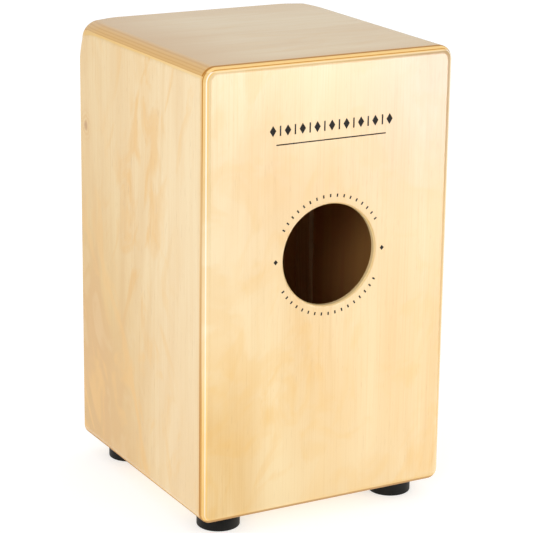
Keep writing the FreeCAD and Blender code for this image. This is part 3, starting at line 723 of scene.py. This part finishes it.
RUBBER_BLACK, RUBBER_DUST = (0.004, 0.0038, 0.003), (0.012, 0.011, 0.009)
DUST_CELLS = 70.0
DUST_FADE = (0.45, 0.75)
DUST_SHARE = 0.5
RUBBER_GRAIN_CELLS = 2600.0

METAL_CLOUD_CELLS = 190.0
METAL_CLOUD_SHARE = 0.6
METAL_MARK_CELLS = 3000.0
METAL_MARK_SHARE = 0.4
METAL_TONE_FADE = (0.35, 0.65)
METAL_GLOSS_FADE = (0.3, 0.7)
METAL_GLOSS_RANGE = 0.14

WINDING = 0.30 * MM
WINDING_SHARE = 0.8
WINDING_DARK, WINDING_BRIGHT = (0.30, 0.29, 0.27), (0.72, 0.71, 0.68)


def rubber():
    """Moulded black rubber with a fine matt grain and a little dust."""
    surface = Surface("rubber_black")
    dust = surface.span(surface.noise(surface.place, DUST_CELLS, detail=4.0), *DUST_FADE)
    colour = surface.mix(surface.times(dust, DUST_SHARE), RUBBER_BLACK, RUBBER_DUST)
    grain = surface.noise(surface.place, RUBBER_GRAIN_CELLS, detail=2.0)
    surface.bump(grain, strength=0.25, distance=0.1 * MM)
    return surface.finish(Base_Color=colour, Roughness=0.5, Specular_IOR_Level=0.2)


def metal(name, bright, dull, roughness, streaks=(1.0, 1.0), axis=Z_AXIS, metallic=1.0):
    """A metal whose tone and gloss vary in small clouds, with fine marks stretched along one axis."""
    surface = Surface(name)
    cloud = surface.noise(surface.place, METAL_CLOUD_CELLS, detail=4.0, roughness=0.6)
    across, along = (METAL_MARK_CELLS * streak for streak in streaks)
    marks = surface.noise(surface.stretched(across, along, axis), detail=2.0)
    clouded = surface.times(cloud, METAL_CLOUD_SHARE)
    tone = surface.math("MULTIPLY_ADD", marks, METAL_MARK_SHARE, clouded)
    colour = surface.mix(surface.span(tone, *METAL_TONE_FADE), bright, dull)
    surface.bump(marks, strength=0.06, distance=0.08 * MM)
    gloss = surface.span(cloud, *METAL_GLOSS_FADE)
    return surface.finish(
        Base_Color=colour,
        Metallic=metallic,
        Roughness=surface.math("MULTIPLY_ADD", gloss, METAL_GLOSS_RANGE, roughness),
    )


def wound_wire():
    """Bright steel wire wound round a core: fine bands across its length."""
    surface = Surface("wound_steel")
    bands = surface.wave(surface.z, 1.0 / WINDING)
    colour = surface.mix(surface.times(bands, WINDING_SHARE), WINDING_DARK, WINDING_BRIGHT)
    surface.bump(bands, strength=0.6, distance=0.12 * MM)
    return surface.finish(Base_Color=colour, Metallic=1.0, Roughness=0.28)


black_oxide = metal("black_oxide", (0.050, 0.050, 0.052), (0.018, 0.018, 0.020), 0.34, metallic=0.7)
zinc = metal("zinc_plate", (0.640, 0.650, 0.640), (0.430, 0.430, 0.410), 0.30)
zinc_sheet = metal("zinc_sheet", (0.620, 0.630, 0.620), (0.440, 0.440, 0.420), 0.32, streaks=(0.9, 0.03))
nickel = metal("nickel_plate", (0.700, 0.670, 0.610), (0.560, 0.520, 0.460), 0.16)
brass = metal("brass_drawn", (0.740, 0.520, 0.200), (0.560, 0.360, 0.120), 0.24, streaks=(0.8, 0.02),
              axis=X_AXIS)

paint(rubber(), "foot_front_left", "foot_front_right", "foot_rear_left", "foot_rear_right")
paint(zinc, "foot_washers", "foot_screws", "bracket_screws")
paint(zinc_sheet, "tuner_bracket_left", "tuner_bracket_right")
paint(nickel, "hitch_pins", "tuner_bushing_left", "tuner_bushing_right", "string_post_left",
      "string_post_right")
paint(brass, "tuner_carriage_left", "tuner_carriage_right")
paint(black_oxide, "tapa_screws", "tuning_screw_left", "tuning_screw_right")


# ---------------------------------------------------------------- meshes made here

def mesh_piece(name, vertices, faces, material, body=None, smooth_below=None):
    """A new piece from its corners and faces, with its material, fixed to a body's empty when a body is
    named.
    """
    mesh = bpy.data.meshes.new(name)
    mesh.from_pydata(vertices, [], faces)
    mesh.materials.append(material)
    if smooth_below:
        mesh.shade_smooth()
        mesh.set_sharp_from_angle(angle=math.radians(smooth_below))
    piece = bpy.data.objects.new(name, mesh)
    bpy.context.scene.collection.objects.link(piece)
    if body:
        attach(piece, body)
    return piece


def strip_faces(rings, closed=False):
    """Faces that join rings of vertex numbers one after another."""
    faces = []
    pairs = list(zip(rings, rings[1:]))
    if closed:
        pairs.append((rings[-1], rings[0]))
    for lower, upper in pairs:
        for here in range(len(lower)):
            ahead = (here + 1) % len(lower)
            faces.append((lower[here], lower[ahead], upper[ahead], upper[here]))
    return faces


# ---------------------------------------------------------------- printed marks on the back

INK_DARK, INK_WORN = (0.008, 0.007, 0.006), (0.022, 0.018, 0.014)
INK_CELLS = 900.0
INK_FADE = (0.35, 0.75)
INK_SUNK = 0.03 * MM
INK_PROUD = 0.04 * MM
RING_RADIUS = 63.0 * MM
RING_HALF_SPAN = math.radians(59.0)
RING_DASHES = 17
DASH = (1.7 * MM, 3.4 * MM)
SIDE_LOZENGE = (5.0 * MM, 5.6 * MM)
ROW_HEIGHT = underside + 410.0 * MM
ROW_LOZENGES = 9
ROW_SPACING = 17.0 * MM
ROW_LOZENGE = (7.4 * MM, 11.5 * MM)
ROW_BAR = (1.7 * MM, 10.5 * MM)
RULE_HEIGHT = underside + 395.5 * MM
RULE = (128.0 * MM, 1.3 * MM)


def bar(centre_x, centre_z, width, height, turn=0.0):
    """Corners of a rectangle on the back, turned about its middle."""
    across, up = width / 2, height / 2
    corners = []
    for u, v in ((-across, -up), (across, -up), (across, up), (-across, up)):
        x = centre_x + u * math.cos(turn) + v * math.sin(turn)
        z = centre_z - u * math.sin(turn) + v * math.cos(turn)
        corners.append((x, z))
    return corners


def lozenge(centre_x, centre_z, width, height):
    """Corners of a lozenge on the back."""
    return [(centre_x, centre_z - height / 2), (centre_x + width / 2, centre_z),
            (centre_x, centre_z + height / 2), (centre_x - width / 2, centre_z)]


def ring_marks():
    """Two arcs of dashes round the sound hole, with a lozenge at each side between them."""
    outlines = []
    for middle in (0.0, math.pi):
        for number in range(RING_DASHES):
            turn = middle + RING_HALF_SPAN * (2 * number / (RING_DASHES - 1) - 1)
            outlines.append(bar(hole_centre.x + RING_RADIUS * math.sin(turn),
                                hole_centre.z + RING_RADIUS * math.cos(turn), *DASH, turn))
    for side in (-1, 1):
        outlines.append(lozenge(hole_centre.x + side * RING_RADIUS, hole_centre.z, *SIDE_LOZENGE))
    return outlines


def row_marks():
    """A straight row of lozenges and bars above the hole, over one thin rule."""
    outlines = [bar(0.0, RULE_HEIGHT, *RULE)]
    for number in range(ROW_LOZENGES):
        place = (number - (ROW_LOZENGES - 1) / 2) * ROW_SPACING
        outlines.append(lozenge(place, ROW_HEIGHT, *ROW_LOZENGE))
        if number < ROW_LOZENGES - 1:
            outlines.append(bar(place + ROW_SPACING / 2, ROW_HEIGHT, *ROW_BAR))
    return outlines


def printed_marks():
    """All marks as thin closed films of ink, just proud of the rear face."""
    surface = Surface("printing_ink")
    cover = surface.noise(surface.place, INK_CELLS, detail=3.0)
    colour = surface.mix(surface.span(cover, *INK_FADE), INK_DARK, INK_WORN)
    material = surface.finish(Base_Color=colour, Roughness=0.60, Specular_IOR_Level=0.15)
    vertices, faces = [], []
    for outline in ring_marks() + row_marks():
        first = len(vertices)
        count = len(outline)
        for y in (rear_face - INK_SUNK, rear_face + INK_PROUD):
            vertices += [(x, y, z) for x, z in outline]
        lower = list(range(first, first + count))
        upper = list(range(first + count, first + 2 * count))
        faces += strip_faces([upper, lower])
        faces += [tuple(lower), tuple(reversed(upper))]
    mesh_piece("printed_marks", vertices, faces, material, "case")


printed_marks()


# ---------------------------------------------------------------- snare strings

WIRE_RADIUS = 0.45 * MM
WIRE_GAP = 0.10 * MM
POST_RADIUS = 2.5 * MM
POST_REACH = 4.0 * MM
STRING_SPREAD = 20.0 * MM
LOOP_DROP = 5.0 * MM
LOOP_RADIUS = 2.35 * MM
WIRE_SIDES = 10
LOOP_STEPS = 40
WRAP_STEPS = 24
RUN_STEPS = 40


def tube(path, radius, sides, vertices, faces, closed=False):
    """Add a round tube along a path of points, which lies nearly in one plane."""
    rings = []
    count = len(path)
    across = None
    for number, point in enumerate(path):
        before = path[(number - 1) % count if closed else max(number - 1, 0)]
        after = path[(number + 1) % count if closed else min(number + 1, count - 1)]
        along = (after - before).normalized()
        if across is None:
            across = along.orthogonal()
        across = (across - along * across.dot(along)).normalized()
        upward = along.cross(across)
        first = len(vertices)
        for side in range(sides):
            turn = TURN * side / sides
            vertices.append(point + (across * math.cos(turn) + upward * math.sin(turn)) * radius)
        rings.append(list(range(first, first + sides)))
    faces += strip_faces(rings, closed)
    if not closed:
        faces += [tuple(reversed(rings[0])), tuple(rings[-1])]


def straight(start, end, steps):
    """Points from start up to end, without the end."""
    return [start.lerp(end, step / steps) for step in range(steps)]


def halfway(low, high):
    """The middle of two numbers."""
    return (low + high) / 2


def pin_ring(centre):
    """Points of the closed ring round a hitch pin."""
    points = []
    for step in range(LOOP_STEPS):
        turn = TURN * step / LOOP_STEPS
        points.append(centre + Vector((math.cos(turn), math.sin(turn), 0)) * LOOP_RADIUS)
    return points


def string_path(post, rise):
    """Points of the wire from one pin down round the post and up to the other pin."""
    along = rise.normalized()
    wrap = POST_RADIUS + WIRE_RADIUS + WIRE_GAP

    def spot(sideways, upward):
        return post + Vector((sideways, 0, 0)) + along * upward

    spread = math.hypot(STRING_SPREAD, rise.length)
    touch = math.atan2(rise.length, -STRING_SPREAD) + math.acos(wrap / spread)
    arc = []
    for step in range(WRAP_STEPS + 1):
        turn = touch + (3 * math.pi - 2 * touch) * step / WRAP_STEPS
        arc.append(spot(wrap * math.cos(turn), wrap * math.sin(turn)))
    start, end = spot(-STRING_SPREAD, rise.length), spot(STRING_SPREAD, rise.length)
    return straight(start, arc[0], RUN_STEPS) + arc[:-1] + straight(arc[-1], end, RUN_STEPS) + [end]


def snare_string(side, material):
    """One string: a ring on each of two hitch pins, and the wire between them round the tuner's post."""
    post_low, post_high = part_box(f"string_post_{side}")
    pins_low, pins_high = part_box("hitch_pins")
    carriage_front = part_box(f"tuner_carriage_{side}")[0].y
    pin_y = halfway(pins_low.y, pins_high.y)
    loop_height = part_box("string_anchor_bar")[0].z - LOOP_DROP
    post = Vector((halfway(post_low.x, post_high.x), carriage_front - POST_REACH / 2,
                   halfway(post_low.z, post_high.z)))
    rise = Vector((post.x, pin_y - LOOP_RADIUS, loop_height)) - post

    vertices, faces = [], []
    tube(string_path(post, rise), WIRE_RADIUS, WIRE_SIDES, vertices, faces)
    for sideways in (-STRING_SPREAD, STRING_SPREAD):
        centre = Vector((post.x + sideways, pin_y, loop_height))
        tube(pin_ring(centre), WIRE_RADIUS, WIRE_SIDES, vertices, faces, closed=True)
    wire = mesh_piece(f"snare_wire_{side}", vertices, faces, material, smooth_below=50)
    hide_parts(f"snare_string_{side}")
    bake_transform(wire)


wire_steel = wound_wire()
paint(wire_steel, "snare_string_left", "snare_string_right")
for side in ("left", "right"):
    snare_string(side, wire_steel)


# ---------------------------------------------------------------- floor, light and camera

WHITE, GREY, BLACK = (1.0, 1.0, 1.0), (0.55, 0.55, 0.55), (0.0, 0.0, 0.0)

FLOOR_REACH = 16.0
FLOOR_LIGHT = 0.60

# The bright floor behind the box: its corners and height. At s = SKEW * y - x its light is
# BASE + SLOPE * s + CURVE * s * s, up to LIMIT.
FLOOR_GLOW_CORNERS = ((-0.25, 0.15), (0.30, 0.15), (-0.70, 2.90), (-2.30, 2.90))
FLOOR_GLOW_HEIGHT = 3 * MM
FLOOR_GLOW_BASE = 0.8
FLOOR_GLOW_SLOPE = 8.0
FLOOR_GLOW_CURVE = 5.0
FLOOR_GLOW_SKEW = -0.22
FLOOR_GLOW_LIMIT = 12.0

# The bright wall beyond that floor.
WALL_PLACE = 2.90
WALL_NEAR, WALL_FAR = -0.70, -2.40
WALL_HEIGHT = 1.1
WALL_GLOW_BASE = 0.65
WALL_GLOW_RISE = 7.0

KEY_BEARING = (40.0, 20.0)
KEY_DISTANCE = 2.0
KEY_AIM_HEIGHT = 0.30
KEY_SIZE = (0.5, 0.5)
KEY_RADIANCE = 14.0
FILL_PLACE = (-1.45, 1.75, 0.8)
FILL_TARGET = (0, 0.15, 0.35)
FILL_SIZE = (0.9, 0.9)
FILL_RADIANCE = 2.0
HORIZON_LIGHT = 0.60
ZENITH_LIGHT = 0.98

CAMERA_PLACE = Vector((1.0772, 1.9677, 0.9115))
CAMERA_YAW = math.radians(208.906)
CAMERA_PITCH = math.radians(-16.666)
CAMERA_ROLL = math.radians(0.725)
CAMERA_LENS = 144.86
CAMERA_SENSOR = 36.0


def studio_plane(name, corners, material):
    """A flat stretch of studio, which isn't part of the object."""
    mesh = bpy.data.meshes.new(name)
    mesh.from_pydata(corners, [], [(0, 1, 2, 3)])
    mesh.materials.append(material)
    plane = bpy.data.objects.new(name, mesh)
    bpy.context.scene.collection.objects.link(plane)
    return plane


def floor():
    """A plain white studio floor, lit a little from within so that it stays pale round the box."""
    reach = FLOOR_REACH
    material = Surface("floor_white").finish(
        Base_Color=GREY,
        Roughness=0.9,
        Specular_IOR_Level=0.0,
        Emission_Color=WHITE,
        Emission_Strength=FLOOR_LIGHT,
    )
    studio_plane("floor", [(-reach, -reach, 0), (reach, -reach, 0), (reach, reach, 0), (-reach, reach, 0)],
                 material)


def glow(name, corners, surface, strength):
    """A bright stretch of studio seen only in gloss."""
    material = surface.finish(
        Base_Color=BLACK,
        Roughness=1.0,
        Specular_IOR_Level=0.0,
        Emission_Color=WHITE,
        Emission_Strength=strength,
    )
    plane = studio_plane(name, corners, material)
    plane.visible_camera = False
    plane.visible_diffuse = False
    plane.visible_shadow = False


def floor_glow():
    """The floor behind the box, as the lacquer of its back shows it: dimmer towards the box."""
    surface = Surface("floor_glow")
    sideways = surface.math("MULTIPLY_ADD", surface.y, FLOOR_GLOW_SKEW, surface.times(surface.x, -1.0))
    slope = surface.math("MULTIPLY_ADD", sideways, FLOOR_GLOW_CURVE, FLOOR_GLOW_SLOPE)
    strength = surface.math("MULTIPLY_ADD", sideways, slope, FLOOR_GLOW_BASE)
    strength = surface.math("MINIMUM", surface.math("MAXIMUM", strength, 0.0), FLOOR_GLOW_LIMIT)
    glow("floor_glow", [(x, y, FLOOR_GLOW_HEIGHT) for x, y in FLOOR_GLOW_CORNERS], surface, strength)


def wall_glow():
    """The studio's wall beyond that floor, which the rounded edges of the back show: dimmer upwards."""
    surface = Surface("wall_glow")
    lowness = surface.span(surface.z, WALL_HEIGHT, 0.0)
    strength = surface.math("MULTIPLY_ADD", lowness, WALL_GLOW_RISE, WALL_GLOW_BASE)
    corners = [(x, WALL_PLACE, z) for x, z in
               ((WALL_NEAR, 0.0), (WALL_FAR, 0.0), (WALL_FAR, WALL_HEIGHT), (WALL_NEAR, WALL_HEIGHT))]
    glow("wall_glow", corners, surface, strength)


def softbox(name, place, target, size, radiance):
    """A soft rectangular lamp aimed at a point, equally bright all over, which leaves no mirror image."""
    width, height = size
    lamp = bpy.data.lights.new(name, "AREA")
    lamp.shape = "RECTANGLE"
    lamp.size = width
    lamp.size_y = height
    lamp.energy = math.pi * width * height * radiance
    thing = bpy.data.objects.new(name, lamp)
    thing.location = place
    thing.rotation_euler = (Vector(target) - Vector(place)).to_track_quat("-Z", "Y").to_euler()
    thing.visible_glossy = False
    bpy.context.scene.collection.objects.link(thing)


def bearing(turn, rise):
    """The direction so many degrees from +Y towards +X, and so many above level."""
    turn, rise = math.radians(turn), math.radians(rise)
    return Vector((math.sin(turn) * math.cos(rise), math.cos(turn) * math.cos(rise), math.sin(rise)))


def daylight(horizon, zenith):
    """White light from all round, stronger from straight above."""
    world = bpy.data.worlds.new("studio")
    world.use_nodes = True
    tree = world.node_tree
    split = tree.nodes.new("ShaderNodeSeparateXYZ")
    tree.links.new(tree.nodes.new("ShaderNodeTexCoord").outputs["Generated"], split.inputs[0])
    fall = tree.nodes.new("ShaderNodeMapRange")
    fall.inputs["To Min"].default_value = horizon
    fall.inputs["To Max"].default_value = zenith
    tree.links.new(split.outputs["Z"], fall.inputs["Value"])
    background = tree.nodes["Background"]
    background.inputs["Color"].default_value = (*WHITE, 1.0)
    tree.links.new(fall.outputs[0], background.inputs["Strength"])
    bpy.context.scene.world = world


def camera():
    """The camera, which sees the box from behind and from its left."""
    level = math.cos(CAMERA_PITCH)
    forward = Vector((math.sin(CAMERA_YAW) * level, math.cos(CAMERA_YAW) * level, math.sin(CAMERA_PITCH)))
    flat_right = forward.cross(Vector((0, 0, 1))).normalized()
    flat_up = flat_right.cross(forward)
    right = flat_right * math.cos(CAMERA_ROLL) + flat_up * math.sin(CAMERA_ROLL)
    up = flat_up * math.cos(CAMERA_ROLL) - flat_right * math.sin(CAMERA_ROLL)
    lens = bpy.data.cameras.new("camera")
    lens.lens = CAMERA_LENS
    lens.sensor_width = CAMERA_SENSOR
    thing = bpy.data.objects.new("camera", lens)
    turn = Matrix((right, up, -forward)).transposed()
    thing.matrix_world = Matrix.Translation(CAMERA_PLACE) @ turn.to_4x4()
    bpy.context.scene.collection.objects.link(thing)
    bpy.context.scene.camera = thing


floor()
floor_glow()
wall_glow()
daylight(HORIZON_LIGHT, ZENITH_LIGHT)
near_corner = Vector((half_width, rear_face, KEY_AIM_HEIGHT))
key_place = near_corner + bearing(*KEY_BEARING) * KEY_DISTANCE
softbox("key", key_place, near_corner, KEY_SIZE, KEY_RADIANCE)
softbox("fill", FILL_PLACE, FILL_TARGET, FILL_SIZE, FILL_RADIANCE)
camera()
bpy.context.scene.view_settings.view_transform = "Standard"
